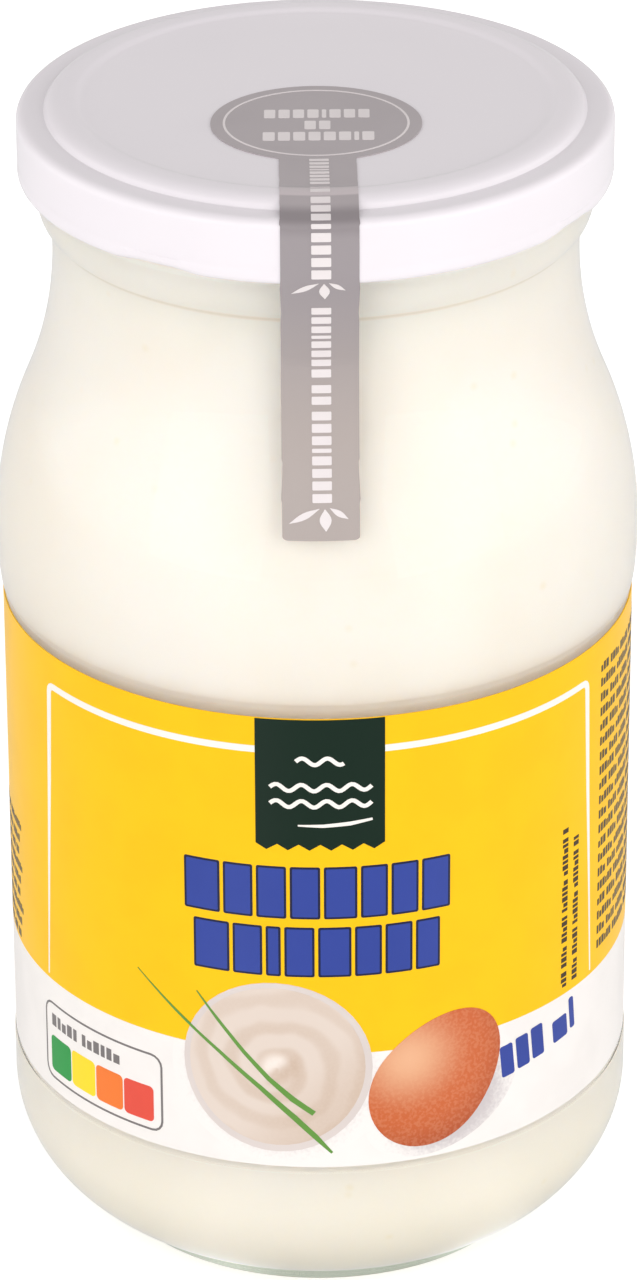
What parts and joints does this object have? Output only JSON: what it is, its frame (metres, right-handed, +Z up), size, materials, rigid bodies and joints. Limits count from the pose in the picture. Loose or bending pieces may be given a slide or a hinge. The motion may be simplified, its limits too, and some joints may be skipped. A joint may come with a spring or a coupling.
{
  "type": "mayonnaise jar",
  "caption": "Waisted glass jar filled with mayonnaise, closed by a white twist-off lid, with a wrap label and a tamper seal over the lid.",
  "frame": {"origin": "middle of the plane that the foot ring stands on, on the jar's axis", "axes": "+Z up along the jar's axis; the front of the label and the seal's strap face -Y"},
  "size_m": [0.0756, 0.0756, 0.143],
  "materials": {
    "glass": "clear, smooth, faint green",
    "mayonnaise": "thick cream, soft satin",
    "label": "printed film, satin",
    "lid": "white lacquer, satin gloss",
    "seal": "grey printed film, satin"
  },
  "bodies": {
    "root": {"jar": "glass", "mayonnaise": "mayonnaise", "label": "label", "lid": "lid", "seal": "seal"}
  },
  "joints": []
}
